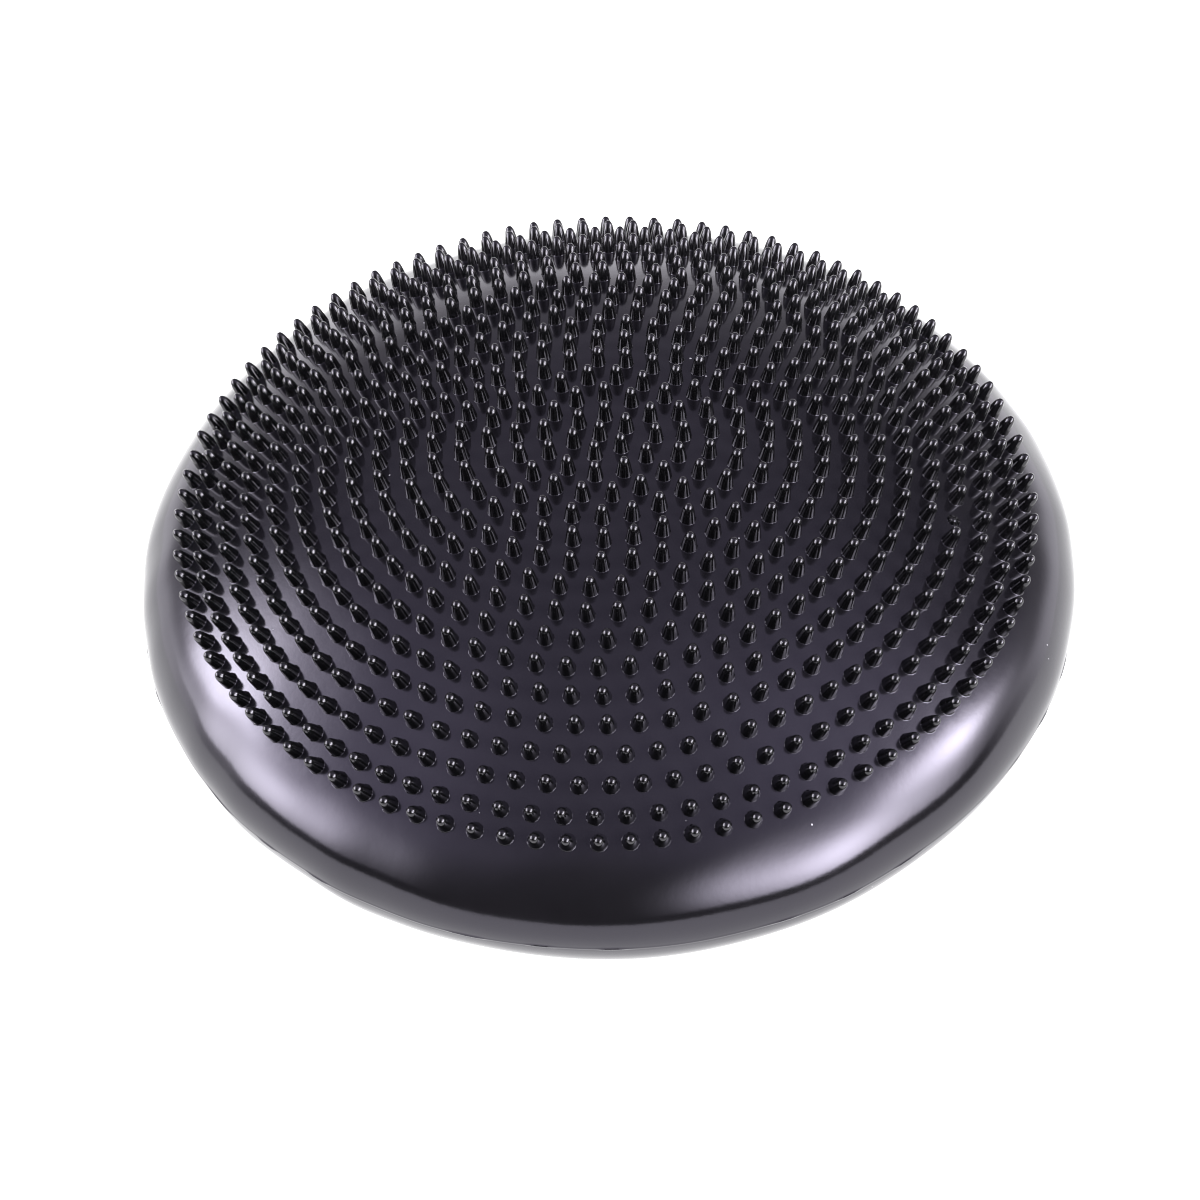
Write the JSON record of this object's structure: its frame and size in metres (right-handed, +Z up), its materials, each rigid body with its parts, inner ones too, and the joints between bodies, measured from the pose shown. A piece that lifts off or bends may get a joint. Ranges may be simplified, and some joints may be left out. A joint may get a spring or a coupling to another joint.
{
  "type": "wobble cushion",
  "caption": "Inflated round balance cushion with a nubbed upper face, a smooth rolled rim and a recessed needle valve underneath.",
  "frame": {"origin": "centre of the flat patch that the cushion rests on", "axes": "+Z up along the axis of the round body; +Y towards the valve's side of the centre"},
  "size_m": [0.33, 0.33, 0.1057],
  "materials": {
    "pvc_skin": "glossy soft vinyl",
    "valve_rubber": "matt"
  },
  "bodies": {
    "base": {"bottom_face": "pvc_skin", "valve_seat": "pvc_skin", "valve_plug": "valve_rubber"},
    "wall": {"side_wall": "pvc_skin"},
    "shoulder": {"shoulder_band": "pvc_skin"},
    "top": {"top_face": "pvc_skin"}
  },
  "joints": [
    {"name": "sink", "type": "slide", "parent": "base", "child": "wall", "axis": [0, 0, -1], "range_m": [0, 0.01], "stiffness_N_per_m": 12000},
    {"name": "tilt_side", "type": "hinge", "parent": "wall", "child": "shoulder", "pos_m": [0, 0, 0.044], "axis": [0, 1, 0], "range_deg": [-4, 4], "stiffness_Nm_per_rad": 90, "deforming": ["shoulder_band"]},
    {"name": "tilt_front", "type": "hinge", "parent": "shoulder", "child": "top", "pos_m": [0, 0, 0.044], "axis": [1, 0, 0], "range_deg": [-4, 4], "stiffness_Nm_per_rad": 90, "deforming": ["shoulder_band"]}
  ]
}
